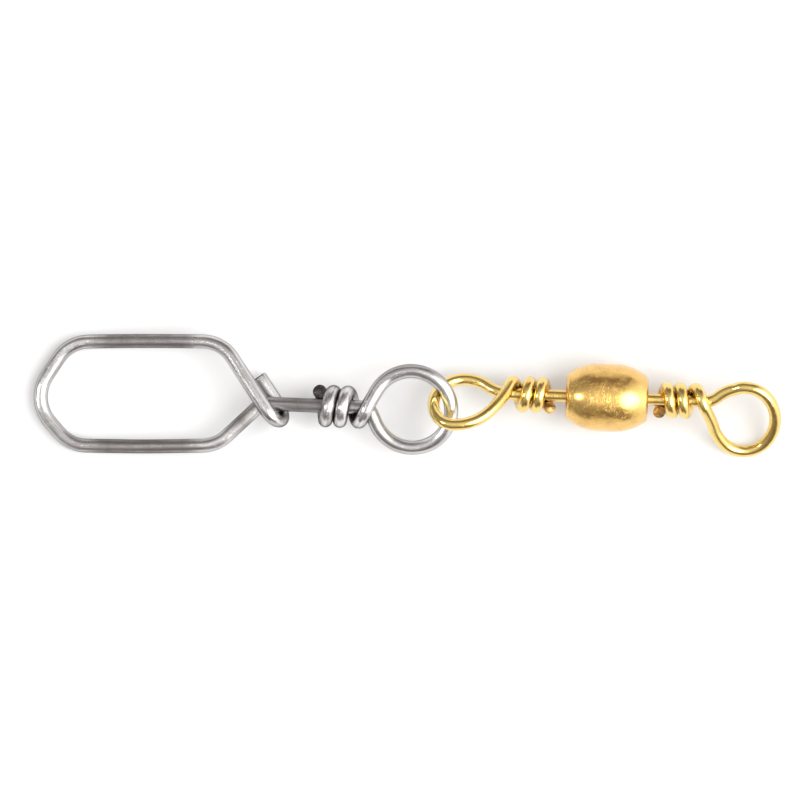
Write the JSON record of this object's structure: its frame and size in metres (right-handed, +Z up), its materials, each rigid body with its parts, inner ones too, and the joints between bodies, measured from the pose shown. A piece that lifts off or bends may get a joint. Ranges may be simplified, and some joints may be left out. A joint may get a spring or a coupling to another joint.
{
  "type": "snap swivel",
  "caption": "Barrel swivel with a wound wire eye at each end, one eye linked to a wire snap with a ring, a wound shank and a six-sided loop closed by an end hook.",
  "frame": {"origin": "centre of the bounding box in plan, on the table that the part lies on", "axes": "+X along the barrel's axis towards the line eye, -X towards the snap, +Z up from the table"},
  "size_m": [0.0524, 0.0086, 0.0052],
  "materials": {
    "barrel_brass": "tumbled, satin to polished",
    "eye_brass": "polished wire",
    "snap_steel": "drawn stainless wire"
  },
  "bodies": {
    "barrel": {"barrel": "barrel_brass"},
    "line_eye": {"line_eye": "eye_brass"},
    "snap_eye": {"snap_eye": "eye_brass"},
    "snap": {"snap": "snap_steel"}
  },
  "joints": [
    {"name": "line_eye_turn", "type": "hinge", "parent": "barrel", "child": "line_eye", "pos_m": [0.01393, 0.00101, 0.00239], "axis": [1, 0, 0], "continuous": true},
    {"name": "snap_eye_turn", "type": "hinge", "parent": "barrel", "child": "snap_eye", "pos_m": [0.01393, 0.00101, 0.00239], "axis": [1, 0, 0], "continuous": true},
    {"name": "snap_swing", "type": "hinge", "parent": "snap_eye", "child": "snap", "pos_m": [0.00033, -0.00036, 0.0028], "axis": [-0.0834, -0.2419, 0.9667], "range_deg": [-100, 100]}
  ]
}
